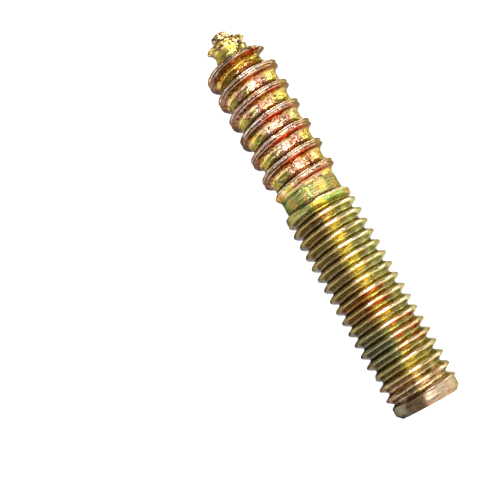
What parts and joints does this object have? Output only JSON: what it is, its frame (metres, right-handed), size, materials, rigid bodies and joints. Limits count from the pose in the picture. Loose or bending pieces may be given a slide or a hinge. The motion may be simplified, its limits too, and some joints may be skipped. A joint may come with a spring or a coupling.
{
  "type": "hanger bolt",
  "caption": "Headless double-ended bolt: a coarse wood screw thread with a torn tip at one end, a fine machine thread with a plain collar at the other.",
  "frame": {"origin": "centre of the flat machine end, on the bolt's axis", "axes": "+Z along the bolt, from the machine end to the tip of the wood screw end"},
  "size_m": [0.006, 0.006, 0.035],
  "materials": {
    "yellow_zinc_steel": "yellow chromate over zinc, glossy with rainbow patches"
  },
  "bodies": {
    "root": {"hanger_bolt": "yellow_zinc_steel"}
  },
  "joints": []
}
